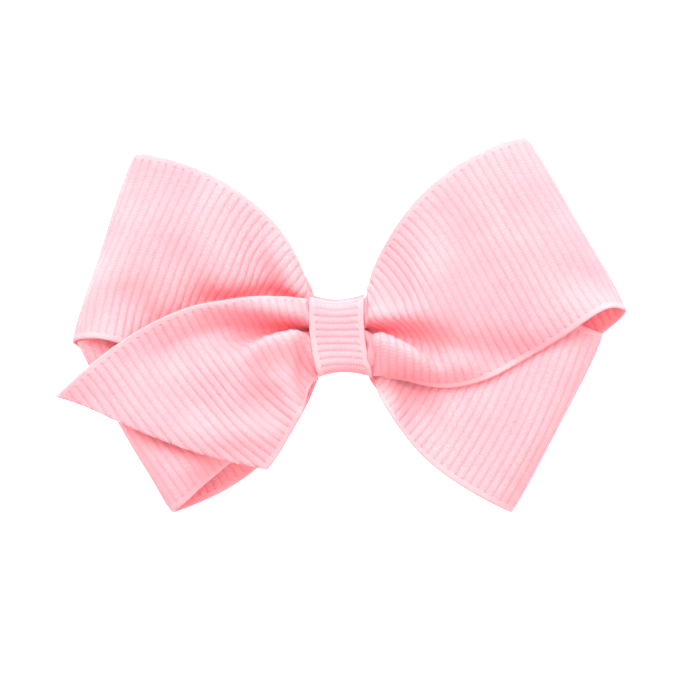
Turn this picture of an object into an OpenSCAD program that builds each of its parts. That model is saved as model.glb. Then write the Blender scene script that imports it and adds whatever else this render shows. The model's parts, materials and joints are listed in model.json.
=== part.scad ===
// Hair bow on an alligator clip, lying face up on the clip's lower jaw. Millimetres.
// +X is right and +Y is up as the bow's face is looked at, +Z comes out of its face.
// The origin is on the lower jaw's flat underside, under the middle of the knot.

/* [Main ribbon] */
// Thickness of the flat ribbon
ribbon_thickness = 0.4; // [0.3:0.05:0.6]
// Half width of the gathered ribbon at the edges of the centre wrap
waist_half_width = 3.5; // [3:0.1:4.5]
// Half width of the gathered ribbon under the thread
thread_half_width = 3.2; // [2.8:0.1:4.2]
// How much narrower the front pass is on each side, to fit the wrap's round corner
front_pass_taper = 0.6; // [0.3:0.1:1]
// Thickness of one gathered pass through the waist
gathered_thickness = 1.05; // [0.8:0.05:1.4]
// Rise from one pass through the waist to the next
pass_pitch = 1.2; // [1:0.05:1.6]
// Height of the rearmost pass through the waist
first_pass_height = 7.9; // [7:0.05:9]
// Sideways shift of the waist's middle, down the bow's face
waist_drop = 0.2; // [0:0.05:1]

/* [Centre wrap] */
// Width of the wrap ribbon
wrap_width = 6.2; // [5:0.1:10]
// Thickness of the wrap ribbon
wrap_thickness = 0.45; // [0.3:0.05:0.8]
// Sideways lean of the wrap, per millimetre down the bow's face
wrap_lean = 0.124; // [0:0.01:0.3]
// Sideways shift of the wrap's middle
wrap_shift = -0.1; // [-1:0.1:1]
// Corner radius of the wrap at the front of the knot
wrap_front_radius = 1.2; // [0.8:0.1:2]
// Corner radius of the wrap under the clip's arm
wrap_back_radius = 0.9; // [0.5:0.1:2]
// Room between the ribbon's gathered edges and the wrap
wrap_side_gap = 0.2; // [0.1:0.05:0.5]
// Room between the front pass and the wrap
wrap_front_gap = 0.12; // [0.05:0.01:0.3]
// Room between the wrap and its glue
wrap_back_gap = 0.1; // [0.05:0.01:0.3]

/* [Thread and glue] */
// Diameter of the waist thread
thread_diameter = 0.28; // [0.15:0.01:0.5]
// Turns of thread round the waist
thread_turns = 5; // [2:1:8]
// Room between the thread and the ribbon
thread_gap = 0.03; // [0.01:0.01:0.1]
// Thickness of the dabs between the bow and the lining
bow_glue_thickness = 0.3; // [0.1:0.05:0.6]
// Distance of each dab's middle from the knot's
bow_glue_x = 2; // [1:0.1:3]
// Half length of a dab across the clip
bow_glue_half_length = 2.4; // [1:0.1:3]
// Half width of a dab along the clip
bow_glue_half_width = 0.9; // [0.5:0.1:1.5]
// Thickness of the dab under the wrap's ends
wrap_glue_thickness = 0.2; // [0.1:0.05:0.4]
// Half length of that dab along the clip
wrap_glue_half_length = 2.2; // [1:0.1:3]
// Half width of that dab across the clip
wrap_glue_half_width = 2; // [1:0.1:3]
// Distance of that dab's middle from the knot's
wrap_glue_x = 0.2; // [0:0.1:1]

/* [Clip] */
// Sheet thickness of both arms
sheet = 0.5; // [0.4:0.05:0.8]
// Where the jaw's tip is, left of the knot
tip_reach = 22.5; // [18:0.5:30]
// Where the thumb tabs end, right of the knot
tab_reach = 21.5; // [16:0.5:26]
// Half width of both arms
arm_half_width = 3.3; // [2.5:0.1:4]
// Half width of the lower jaw's neck, between the top arm's ears
neck_half_width = 2.4; // [2:0.1:3]
// Height of the top arm's underside
arm_height = 6; // [5.5:0.1:8]
// Corner radius of the arms
corner_radius = 1.2; // [0.5:0.1:2]
// Teeth along the jaw's lip
teeth = 4; // [3:1:7]
// Height of one tooth
tooth_height = 1.1; // [0.5:0.1:1.5]
// Gap between the teeth and the lining when the clip is shut
tooth_gap = 0.32; // [0.1:0.02:0.6]
// Half length of the lower jaw's neck along the clip
neck_half_length = 4.5; // [3:0.1:6]
// Thickness of the ribbon lining on the top arm
lining_thickness = 0.4; // [0.3:0.05:0.6]
// Half width of the ribbon lining
lining_half_width = 3.1; // [2.5:0.1:3.5]
// How far the lining stops short of the thumb tab's end
lining_end_margin = 0.6; // [0.2:0.1:2]
// How far the lining under the arm reaches past the waist
lining_under_margin = 0.6; // [0.2:0.1:2]
// Length of the anti-slip strip in the mouth
pad_length = 13; // [8:0.5:16]
// Half width of the anti-slip strip
pad_half_width = 2.4; // [1.5:0.1:3]
// Where the anti-slip strip ends, left of the knot
pad_reach = 5; // [4:0.5:8]
// Thickness of the anti-slip strip
pad_thickness = 0.4; // [0.3:0.05:0.8]

/* [Hinge] */
// Distance of the hinge from the knot, towards the thumb tabs
hinge_x = 8; // [6:0.1:12]
// Height of the hinge
hinge_z = 3.2; // [2.5:0.1:4]
// Radius of the hinge pin
pin_radius = 0.7; // [0.5:0.05:1]
// Running clearance of the lower jaw on the pin
pin_clearance = 0.05; // [0.02:0.01:0.1]
// Radius of the pin's riveted heads
rivet_radius = 1.05; // [0.9:0.05:1.5]
// Thickness of a riveted head
rivet_thickness = 0.4; // [0.2:0.05:0.6]
// Outer radius of the top arm's ears
ear_radius = 1.9; // [1.5:0.1:2.4]
// Outer radius of the lower jaw's ears
jaw_ear_radius = 1.8; // [1.5:0.1:2.4]
// Mean radius of the spring's coil
coil_radius = 1.2; // [1:0.05:1.6]
// Wire radius of the spring
wire_radius = 0.28; // [0.2:0.02:0.4]
// Full turns of the spring, besides the part turn between its legs
coil_turns = 3; // [2:1:5]
// Length of a spring leg
leg_length = 7.4; // [5:0.1:9]
// Slope of a spring leg away from the other, in degrees
leg_slope = 9; // [3:0.5:12]

/* [Hidden] */
$fn = 48;
EPS = 0.01;

GAP = 0.02;            // clearance between parts that are glued or pressed together
NECK_OVERLAP = 1.5;    // how far the neck runs into the jaw's wide ends
across = 6;            // strips across the ribbon
layer_steps = 10;      // steps from the waist to a fold
fold_steps = 8;        // steps round a fold
waist_x = wrap_width / 2 + 0.15;
lining_top = arm_height + sheet + lining_thickness;
lining_bottom = arm_height - lining_thickness;
waist_middle = first_pass_height + 2 * pass_pitch;
waist_area = 2 * waist_half_width * gathered_thickness;
thread_squeeze = 0.9;  // how much closer the passes lie under the thread

// Order of the passes from the back of the bow to its front
ORDER = [2, 4, 5, 3, 1];
function pass_z(pass, squeeze = 1) =
    waist_middle + (search(pass, ORDER)[0] - 2) * pass_pitch * squeeze;

// One layer of ribbon from the waist outwards: its upper and lower selvedge, each as two pulling
// points and an end point in the bow's face, and its height as two pulling heights and an end height.
upper_right_front = [
    [[4.2, 12.5], [13, 20], [21.9, 22]],
    [[13, -9], [21.5, -7.5], [32.4, 3.1]],
    [15.6, 14.6, 12]];
upper_right_back = [
    [[4.6, 11.5], [13, 19.6], [21.9, 22]],
    [[14, -7], [24, -4], [32.4, 3.1]],
    [7.4, 7.6, 8]];
upper_left_front = [
    [[-5.5, 13], [-12.5, 17.5], [-24, 20.5]],
    [[-13, -6], [-22, -1.5], [-30.3, -0.1]],
    [13, 13.3, 12.3]];
upper_left_back = [
    [[-5.9, 12], [-12.8, 17], [-24, 20.5]],
    [[-13, -7], [-22, -3], [-30.3, -0.1]],
    [7.4, 7.6, 8]];
lower_right_front = [
    [[12, 5], [22, 4.5], [30, -0.1]],
    [[5.5, -10.5], [11.5, -17.5], [19.5, -20.2]],
    [12.6, 12, 11.3]];
lower_right_back = [
    [[12, 4.6], [22, 4], [30, -0.1]],
    [[5.9, -10], [12, -17], [19.5, -20.2]],
    [9.1, 9, 9.1]];
lower_left_front = [
    [[-12, 4], [-22, 2], [-30.2, -0.6]],
    [[-6, -9], [-11, -13], [-19.2, -20]],
    [10.8, 11, 11]];
lower_left_back = [
    [[-12, 3.6], [-22, 1.8], [-30.2, -0.6]],
    [[-4.6, -11], [-10, -18.5], [-19.2, -20]],
    [9, 8.9, 9]];
tail_front = [
    [[-10, 4.5], [-19.5, 7], [-32.2, -7.4]],
    [[-4.2, -8], [-6, -12], [-8, -15.5]],
    [15.2, 14.8, 13.6]];
tail_inside = [
    [[9, 6], [15, 6.5], [21.5, 5.5]],
    [[6, -8], [10, -12], [15.5, -15.5]],
    [10.3, 10.2, 10.2]];

function bezier(a, b, c, d, t) =
    pow(1 - t, 3) * a + 3 * t * pow(1 - t, 2) * b + 3 * t * t * (1 - t) * c + pow(t, 3) * d;
function unit(v) = v / norm(v);
function side(layer) = sign(layer[0][2][0]);
function taper(pass) = pass == 1 ? front_pass_taper : 0;
// Point of the waist's edge in the bow's face, which leans as the wrap does
function waist_point(x, y) = [x + wrap_shift - wrap_lean * y, y];
// Outward direction across a fold, in the bow's face
function fold_out(layer) =
    let (along = layer[0][2] - layer[1][2], out = unit([along[1], -along[0]]))
    out * sign(out[0] * side(layer));
// Row of middle-surface points across the ribbon, at share u of the way from the waist to the end
function layer_row(layer, pass, inset, u) =
    let (pull = inset > 0 ? fold_out(layer) * inset : [0, 0],
         high = bezier(waist_point(side(layer) * waist_x, waist_half_width - taper(pass) - waist_drop),
                       layer[0][0], layer[0][1] - pull, layer[0][2] - pull, u),
         low = bezier(waist_point(side(layer) * waist_x, taper(pass) - waist_half_width - waist_drop),
                      layer[1][0], layer[1][1] - pull, layer[1][2] - pull, u),
         z = bezier(pass_z(pass), layer[2][0], layer[2][1], layer[2][2], u))
    [for (j = [0:across]) let (p = low + (high - low) * j / across) [p[0], p[1], z]];
function outward(layer, pass, inset) =
    [for (i = [1:layer_steps]) layer_row(layer, pass, inset, i / layer_steps)];
function reversed(rows) = [for (i = [len(rows) - 1:-1:0]) rows[i]];
// Rows round the fold between the layer that is arrived on and the one that is left on
function fold_rows(from, to) =
    let (radius = abs(from[2][2] - to[2][2]) / 2, middle = (from[2][2] + to[2][2]) / 2,
         out = fold_out(from), up = sign(from[2][2] - to[2][2]))
    [for (i = [1:fold_steps - 1])
        let (a = 180 * i / fold_steps)
        [for (j = [0:across])
            let (p = from[1][2] + (from[0][2] - from[1][2]) * j / across + out * radius * (sin(a) - 1))
            [p[0], p[1], middle + up * radius * cos(a)]]];
function loop_rows(from, from_pass, to, to_pass) =
    let (radius = abs(from[2][2] - to[2][2]) / 2)
    concat(outward(from, from_pass, radius), fold_rows(from, to), reversed(outward(to, to_pass, radius)));
// Rows through the waist, left to right when way is 1
function pass_rows(pass, way) =
    [for (s = [-1, -0.4, 0, 0.4, 1])
        let (thin = abs(s) < 0.5, half = (thin ? thread_half_width : waist_half_width) - taper(pass))
        [for (j = [0:across])
            let (p = waist_point(way * s * waist_x, half * (2 * j / across - 1) - waist_drop))
            [p[0], p[1], pass_z(pass, thin ? thread_squeeze : 1)]]];

ribbon_rows = concat(
    reversed(outward(tail_front, 1, 0)), pass_rows(1, 1),
    loop_rows(upper_right_front, 1, upper_right_back, 2), pass_rows(2, -1),
    loop_rows(upper_left_back, 2, upper_left_front, 3), pass_rows(3, 1),
    loop_rows(lower_right_front, 3, lower_right_back, 4), pass_rows(4, -1),
    loop_rows(lower_left_back, 4, lower_left_front, 5), pass_rows(5, 1),
    outward(tail_inside, 5, 0));

function row_thickness(row) =
    max(ribbon_thickness, min(gathered_thickness, waist_area / norm(row[across] - row[0])));
// The rows moved half a thickness to one face of the ribbon
function face_rows(rows, face) =
    [for (i = [0:len(rows) - 1])
        let (before = rows[max(i - 1, 0)], after = rows[min(i + 1, len(rows) - 1)],
             wide = rows[i][across] - rows[i][0], half = row_thickness(rows[i]) / 2)
        [for (j = [0:across])
            rows[i][j] + face * half * unit(cross(wide, after[j] - before[j]))]];

// Closed skin over rings of points that all have the same count
module skin(rings) {
    count = len(rings[0]);
    last = len(rings) - 1;
    points = [for (ring = rings) for (p = ring) p];
    walls = [for (i = [0:last - 1]) for (j = [0:count - 1])
        let (k = (j + 1) % count, a = i * count + j, b = i * count + k)
        for (f = [[a, b, b + count], [a, b + count, a + count]]) f];
    caps = [for (j = [1:count / 2 - 1])
        for (f = [[j, j - 1, count - j], [j, count - j, count - 1 - j]])
            for (end = [0, 1]) end == 0 ? f : [for (k = [2:-1:0]) last * count + f[k]]];
    polyhedron(points, concat(walls, caps));
}

// Box given by its low and high corner
module block(low, high) {
    translate(low) cube(high - low);
}

// Cylinder along Y between two positions
module cross_pin(radius, x, z, from, to) {
    translate([x, to, z]) rotate([90, 0, 0]) cylinder(r = radius, h = to - from);
}

// Outline in the YZ plane of a ring round the waist, bigger by grow
module waist_outline(low_z, high_z, half, back_radius, front_radius, grow) {
    hull() for (s = [-1, 1]) {
        translate([low_z + back_radius, -waist_drop + s * (half - back_radius)])
            circle(back_radius + grow);
        translate([high_z - front_radius, -waist_drop + s * (half - front_radius)])
            circle(front_radius + grow);
    }
}

// Flat ring round the waist, width wide along X
module waist_band(low_z, high_z, half, back_radius, front_radius, thickness, width) {
    rotate([0, -90, 0]) linear_extrude(width, center = true) difference() {
        waist_outline(low_z, high_z, half, back_radius, front_radius, thickness, $fn = 24);
        waist_outline(low_z, high_z, half, back_radius, front_radius, 0, $fn = 24);
    }
}

module bow_ribbon() {
    front = face_rows(ribbon_rows, 1);
    back = face_rows(ribbon_rows, -1);
    color("LightPink") skin([for (i = [0:len(front) - 1]) concat(front[i], reversed(back[i]))]);
}

module waist_thread() {
    reach = 2 * pass_pitch * thread_squeeze + gathered_thickness / 2 + thread_gap;
    turn_pitch = thread_diameter * 1.02;
    back_radius = 0.3;
    front_radius = 0.9;
    color("White") for (i = [0:thread_turns - 1])
        translate([(i - (thread_turns - 1) / 2) * turn_pitch, 0, 0])
            waist_band(waist_middle - reach, waist_middle + reach, thread_half_width + thread_gap,
                       back_radius, front_radius, thread_diameter, thread_diameter);
}

module centre_wrap() {
    color("Pink") multmatrix([[1, -wrap_lean, 0, wrap_shift], [0, 1, 0, 0], [0, 0, 1, 0]])
        waist_band(lining_bottom - wrap_glue_thickness - wrap_back_gap,
                   pass_z(1) + gathered_thickness / 2 + wrap_front_gap,
                   waist_half_width + wrap_side_gap,
                   wrap_back_radius, wrap_front_radius, wrap_thickness, wrap_width);
}

// Flat oval dab of glue
module dab(half_x, half_y, thickness) {
    scale([half_x, half_y, 1]) cylinder(r = 1, h = thickness, $fn = 20);
}

module bow_glue() {
    color("Ivory") for (s = [-1, 1]) translate([s * bow_glue_x, -waist_drop, lining_top + 2 * GAP])
        dab(bow_glue_half_width, bow_glue_half_length, bow_glue_thickness);
}

module wrap_glue() {
    color("Ivory") translate([wrap_glue_x, 0, lining_bottom - wrap_glue_thickness - wrap_back_gap / 2])
        dab(wrap_glue_half_length, wrap_glue_half_width, wrap_glue_thickness);
}

// Flat strip with rounded corners, from its low to its high corner
module plate(low, high) {
    r = corner_radius;
    block([low[0] + r, low[1], low[2]], [high[0] - r, high[1], high[2]]);
    block([low[0], low[1] + r, low[2]], [high[0], high[1] - r, high[2]]);
    for (x = [low[0] + r, high[0] - r], y = [low[1] + r, high[1] - r])
        translate([x, y, low[2]]) cylinder(r = r, h = high[2] - low[2]);
}

// Pair of hinge ears between a sheet and the pin, bored for it
module ears(outer, radius, sheet_z) {
    for (s = [-1, 1]) {
        low = s > 0 ? outer - sheet : -outer;
        difference() {
            union() {
                cross_pin(radius, hinge_x, hinge_z, low, low + sheet);
                block([hinge_x - radius, low, min(hinge_z, sheet_z)],
                      [hinge_x + radius, low + sheet, max(hinge_z, sheet_z)]);
            }
            cross_pin(pin_radius + pin_clearance, hinge_x, hinge_z, low - 1, low + sheet + 1);
        }
    }
}

module clip_top_arm() {
    color("Silver") {
        plate([-tip_reach, -arm_half_width, arm_height], [tab_reach, arm_half_width, arm_height + sheet]);
        ears(arm_half_width, ear_radius, arm_height + sheet / 2);
    }
}

// Ribbon glued along the arm's top, over its tip and back under it
module clip_lining() {
    tip_x = -tip_reach - 2.5 * GAP;
    half = lining_half_width;
    top = lining_top + GAP;
    bottom = lining_bottom - GAP;
    color("LightPink") {
        block([tip_x - lining_thickness, -half, bottom], [tip_x, half, top]);
        block([tip_x - EPS, -half, arm_height + sheet + GAP], [tab_reach - lining_end_margin, half, top]);
        block([tip_x - EPS, -half, bottom], [waist_x + lining_under_margin, half, arm_height - GAP]);
    }
}

module grip_pad() {
    low = lining_bottom - 2 * GAP - pad_thickness;
    color("WhiteSmoke")
        plate([-pad_reach - pad_length, -pad_half_width, low],
              [-pad_reach, pad_half_width, low + pad_thickness]);
}

module clip_hinge_pin() {
    outer = arm_half_width + 1.5 * GAP;
    color("Gainsboro") {
        cross_pin(pin_radius, hinge_x, hinge_z, -outer - EPS, outer + EPS);
        cross_pin(rivet_radius, hinge_x, hinge_z, outer, outer + rivet_thickness);
        cross_pin(rivet_radius, hinge_x, hinge_z, -outer - rivet_thickness, -outer);
    }
}

// Ring of the spring's wire round a point of its path, square to the direction in the XZ plane
function wire_ring(point, way) =
    [for (k = [0:7]) point + wire_radius * (cos(45 * k) * [-way[1], 0, way[0]] + sin(45 * k) * [0, 1, 0])];

module clip_spring() {
    turn = 360 * coil_turns + 180 - 2 * leg_slope;
    steps = 4 * round(turn / 80);
    rise = coil_turns * 2 * wire_radius * 1.07;
    start = 90 + leg_slope;
    function on_coil(a) = [
        hinge_x + coil_radius * cos(a),
        rise * ((a - start) / turn - 0.5),
        hinge_z + coil_radius * sin(a)];
    arriving = [-cos(leg_slope), -sin(leg_slope)];
    leaving = [cos(leg_slope), -sin(leg_slope)];
    top = on_coil(start);
    bottom = on_coil(start + turn);
    legs_in = [for (s = [1, 0.5])
        wire_ring(top - s * leg_length * [arriving[0], 0, arriving[1]], arriving)];
    coil = [for (i = [0:steps])
        let (a = start + turn * i / steps) wire_ring(on_coil(a), [-sin(a), cos(a)])];
    legs_out = [for (s = [0.5, 1])
        wire_ring(bottom + s * leg_length * [leaving[0], 0, leaving[1]], leaving)];
    color("DimGray") skin(concat(legs_in, coil, legs_out));
}

// Lip at the jaw's tip, with its row of teeth, as an outline across the jaw
module tooth_lip() {
    root = lining_bottom - tooth_gap - tooth_height;
    wide = 2 * (arm_half_width - corner_radius);
    points = [for (i = [0:2 * teeth])
        [-wide / 2 + wide * i / (2 * teeth), root + (i % 2) * tooth_height]];
    translate([-tip_reach, 0, 0]) rotate([90, 0, 90]) linear_extrude(sheet)
        polygon(concat(points, [[wide / 2, sheet / 2], [-wide / 2, sheet / 2]]));
}

module clip_lower_jaw() {
    neck = neck_half_length + NECK_OVERLAP;
    color("Silver") {
        plate([-tip_reach, -arm_half_width, 0], [hinge_x - neck_half_length, arm_half_width, sheet]);
        plate([hinge_x + neck_half_length, -arm_half_width, 0], [tab_reach - sheet, arm_half_width, sheet]);
        block([hinge_x - neck, -neck_half_width, 0], [hinge_x + neck, neck_half_width, sheet]);
        ears(neck_half_width, jaw_ear_radius, sheet / 2);
        tooth_lip();
    }
}

bow_ribbon();
waist_thread();
bow_glue();
centre_wrap();
wrap_glue();
clip_top_arm();
clip_lining();
grip_pad();
clip_hinge_pin();
clip_spring();
clip_lower_jaw();
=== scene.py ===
import json
import math

import bmesh
import bpy
import numpy as np
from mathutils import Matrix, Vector


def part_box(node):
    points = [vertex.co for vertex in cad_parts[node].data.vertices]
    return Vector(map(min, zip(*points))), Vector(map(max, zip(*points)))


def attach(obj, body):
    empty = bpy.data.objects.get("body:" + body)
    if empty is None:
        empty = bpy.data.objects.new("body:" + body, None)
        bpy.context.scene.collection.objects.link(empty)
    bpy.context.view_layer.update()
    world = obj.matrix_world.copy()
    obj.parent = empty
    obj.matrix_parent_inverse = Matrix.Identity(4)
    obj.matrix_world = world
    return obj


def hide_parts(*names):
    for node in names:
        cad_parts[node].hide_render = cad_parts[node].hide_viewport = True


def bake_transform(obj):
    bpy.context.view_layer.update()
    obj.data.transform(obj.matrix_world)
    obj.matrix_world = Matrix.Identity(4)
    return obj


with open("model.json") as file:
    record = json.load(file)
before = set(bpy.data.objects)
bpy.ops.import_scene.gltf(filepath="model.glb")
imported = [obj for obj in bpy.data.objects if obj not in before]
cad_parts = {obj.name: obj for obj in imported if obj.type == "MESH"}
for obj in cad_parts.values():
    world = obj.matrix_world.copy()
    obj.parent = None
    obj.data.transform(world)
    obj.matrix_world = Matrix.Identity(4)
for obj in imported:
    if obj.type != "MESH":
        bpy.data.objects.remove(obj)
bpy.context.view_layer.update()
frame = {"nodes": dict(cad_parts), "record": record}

# Lengths below are millimetres in the row frame until a mesh is made: +X right and +Y up the bow's
# face, +Z out of it, with the origin under the middle of the knot.
MM = 0.001


def corners_of(node):
    """Lowest and highest corner of a CAD node, in millimetres."""
    low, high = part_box(node)
    return np.array(low) / MM, np.array(high) / MM


WRAP_LOW, WRAP_HIGH = corners_of("centre_wrap")
ARM_HIGH = corners_of("clip_top_arm")[1]
LINING_LOW, LINING_HIGH = corners_of("clip_lining")
JAW_HINGE = frame["record"]["behaviour"]["joints"][0]

# ---------------- the pieces' measures

RIBBON_WIDTH = 22.2
RIB_PITCH = 0.965  # from one cross rib to the next
RIB_HEIGHT = 0.1
RIBBON_CORE = 0.2  # thickness in the groove between two ribs
SELVEDGE = 0.75  # smooth woven border past the ribs' ends
WAIST_X = 3.1  # half length of the pinched waist along X
WAIST_HALF = 4.2  # half height of the waist along Y where it leaves the centre wrap
WAIST_BULGE = 1.08  # and how much taller the ribbon swells just outside the wrap
WAIST_PINCH = (0.72, 0.9)  # shares of its height and depth left under the thread
WAIST_MIDDLE = -0.2
WAIST_MIDDLE_Z = 10.3
LEAN = (-0.42, -0.1, 0.02)  # the wrap and waist's sideways shift, as a polynomial of the height Y
LAYER_GAP = 0.5  # least distance between two layers' middle surfaces

# The narrow ribbon of the centre wrap and the clip's lining
NARROW_PITCH = 0.76
NARROW_RIB = 0.08
NARROW_CORE = 0.24
NARROW_HALF = 0.2  # half of its thickness over the ribs
WRAP_WIDTH = 6.2
WRAP_THICK = 0.45
WRAP_ROUNDING = 1.3  # radius of the wrap's turns round the knot
WRAP_LAP = 4.5  # how far the wrap's end lies over its start
WRAP_FLARE = 0.3  # how much the wrap's borders rise over the knot's front
WRAP_TAPER = 0.035  # share by which the wrap narrows the knot's front
LINING_UNDER_END = 3.85  # where the lining's under strip ends

PAD_RIDGE = 0.9  # from one ridge of the grip pad to the next
PAD_RIDGE_HEIGHT = 0.13
DAB_HALF = 0.9  # half width along X of the dabs under the bow
THREAD_RADIUS = 0.14
THREAD_TURNS = 5
HINGE_X, HINGE_Z = (place / MM for place in JAW_HINGE["pos_m"][::2])
COIL = 1.2  # radius of the spring's coil to the wire's middle
COIL_TURNS = 3.5
WIRE = 0.28  # radius of the spring's wire
CLIP_SHEET = 0.5  # thickness of the clip's sheet steel
LEG_GAP = 0.02  # between a spring leg's tip and the clip's arm, before the tip is rounded

# Passes of the ribbon through the waist: height of its crests and depth of its central pleat.
# Pass 1 is the front one; the route below says which loops each pass joins.
PASSES = {
    1: (13.0, 3.0),
    3: (11.85, 2.5),
    5: (10.75, 2.05),
    4: (9.65, 1.6),
    2: (8.5, 1.15),
}


def catmull(take, base, count, t):
    """Smooth curve through count values: take gives the value at a place, t is how far past base."""
    before, start, end, after = [take(np.clip(base + k, 0, count - 1)) for k in (-1, 0, 1, 2)]
    return 0.5 * (2 * start + (end - before) * t + (2 * before - 5 * start + 4 * end - after) * t ** 2
                  + (3 * start - before - 3 * end + after) * t ** 3)


class Layer:
    """One run of ribbon from the waist outwards, front or back of a loop, or a tail.

    upper and lower are its selvedges in the bow's face, as two Bezier handles and the end point.
    heights are the two handles and the end of its height. holds says how firmly each is kept.
    slide is how far its end lies down along the fold from the fold's middle, and apex is the row
    of cloth at the middle of that fold.
    """

    OUTLINE_POINTS = 200

    def __init__(self, side, number, upper, lower, heights, holds, slide=0.0):
        self.side, self.number, self.heights, self.holds = side, number, heights, holds
        self.upper, self.lower = np.array(upper, float), np.array(lower, float)
        down = self.lower[2] - self.upper[2]
        self.slide = slide * down / np.linalg.norm(down)
        self.apex = None

    def fold_out(self):
        """Unit direction in the bow's face, square to the layer's end and away from the waist."""
        along = self.upper[2] - self.lower[2]
        out = np.array([along[1], -along[0]]) / np.linalg.norm(along)
        return out * np.sign(out[0] * self.side)

    def selvedge(self, which, inset=0.0):
        """Dense points of the upper (1) or lower (-1) selvedge, its end pulled in by inset."""
        handle, pull, end = self.upper if which > 0 else self.lower
        back = self.fold_out() * inset - self.slide
        y = WAIST_MIDDLE + which * WAIST_HALF * WAIST_BULGE
        start = np.array([lean(self.side * WAIST_X, y), y])
        return bezier([start, handle, pull - back, end - back], np.linspace(0, 1, self.OUTLINE_POINTS))


def lean(x, y):
    """X of a waist point that leans as the centre wrap does."""
    return x + LEAN[0] + LEAN[1] * y + LEAN[2] * y * y


def bezier(points, t):
    """Points of a cubic Bezier curve, or its values, at the shares t."""
    a, b, c, d = [np.atleast_1d(np.asarray(p, float)) for p in points]
    t = np.asarray(t, float)[..., None]
    return (1 - t) ** 3 * a + 3 * t * (1 - t) ** 2 * b + 3 * t * t * (1 - t) * c + t ** 3 * d


def smooth(x):
    """A soft step from 0 to 1, as x goes from 0 to 1."""
    x = np.clip(x, 0, 1)
    return x * x * (3 - 2 * x)


def steps_of(line):
    """Distances from each point of a line to the next."""
    return np.linalg.norm(np.diff(line, axis=0), axis=1)


def follow(line, place, known):
    """Points of a line at places along it; known holds the places of its own points."""
    return np.stack([np.interp(place, known, values) for values in line.T], axis=1)


def even_points(line, shares):
    """Points of a line at the given shares of its length."""
    arc = np.concatenate([[0], np.cumsum(steps_of(line))])
    return follow(line, np.asarray(shares) * arc[-1], arc)


LAYERS = {
    "tail_front": Layer(
        -1, 1, [(-10, 4.5), (-19.5, 7), (-32.2, -7.4)], [(-4.2, -8), (-6, -12), (-8, -15.5)],
        (13.4, 13.9, 13.7), (1, 1)),
    "upper_right_front": Layer(
        1, 1, [(4.6, 10.5), (10, 20.5), (22, 21.5)], [(15.5, -13), (26.7, 1.2), (32.5, 3)],
        (15.6, 14.6, 12), (1, 1), -1.6),
    "upper_right_back": Layer(
        1, 2, [(4.6, 10.5), (11, 19.6), (22, 21.5)], [(14, -9), (25, -5), (32.5, 3)],
        (7.4, 7.4, 8), (0.3, 0.9), 0.9),
    "upper_left_back": Layer(
        -1, 2, [(-5.2, 11), (-12, 18), (-24, 20.1)], [(-13, -9), (-24, -6.5), (-30.3, 0.1)],
        (7.4, 7.4, 8), (0.3, 0.9), 0.9),
    "upper_left_front": Layer(
        -1, 3, [(-4.8, 10.5), (-10.5, 18.5), (-24, 20.1)], [(-13, -6), (-26, -1.2), (-30.3, 0.1)],
        (13, 13.3, 12), (1, 0.6), -1.1),
    "lower_right_front": Layer(
        1, 3, [(12, 5), (22, 4.5), (30, -0.1)], [(5.5, -10.5), (11.5, -17.5), (19.5, -20.2)],
        (12.9, 12.6, 11.3), (0.4, 1)),
    "lower_right_back": Layer(
        1, 4, [(12, 4.6), (22, 4), (30, -0.1)], [(5.9, -10), (12, -17), (19.5, -20.2)],
        (9.1, 9, 9.1), (0.3, 0.4)),
    "lower_left_back": Layer(
        -1, 4, [(-12, 3.6), (-22, 1.8), (-30.2, -0.6)], [(-4.6, -11), (-10, -18.5), (-19.2, -20)],
        (9, 8.9, 9), (0.3, 1)),
    "lower_left_front": Layer(
        -1, 5, [(-12, 4), (-22, 2), (-30.2, -0.6)], [(-6, -9), (-11, -13), (-19.2, -20)],
        (10.8, 11, 11), (0.3, 1)),
    "tail_inside": Layer(
        1, 5, [(9, 6), (15, 6.5), (21.5, 5.5)], [(6, -8), (10, -12), (15.5, -15.5)],
        (10.3, 10.2, 10.2), (0.3, 0.3)),
}
FRONT_TO_BACK = (
    ("tail_front", "upper_left_front", "lower_left_front", "lower_left_back", "upper_left_back"),
    ("upper_right_front", "lower_right_front", "tail_inside", "lower_right_back", "upper_right_back"),
)
# The ribbon's route from end to end: what it makes, out of which layers or through which pass,
# and its length along the ribbon's middle.
ROUTE = (
    ("tail", ("tail_front",), 23.0),
    ("pass", 1, 2 * WAIST_X),
    ("loop", ("upper_right_front", "upper_right_back"), 63.0),
    ("pass", 2, 2 * WAIST_X),
    ("loop", ("upper_left_back", "upper_left_front"), 59.0),
    ("pass", 3, 2 * WAIST_X),
    ("loop", ("lower_right_front", "lower_right_back"), 54.0),
    ("pass", 4, 2 * WAIST_X),
    ("loop", ("lower_left_back", "lower_left_front"), 53.0),
    ("pass", 5, 2 * WAIST_X),
    ("tail", ("tail_inside",), 20.0),
)
# How far the upper selvedge runs ahead of the middle where the ribbon is pinched or cut askew
PINCH_SKEW = {1: 3.0, 2: -1.0, 3: -0.8, 4: 0.0, 5: 2.0}
CUT_SKEW = (-6.3, 6.0)

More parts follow.
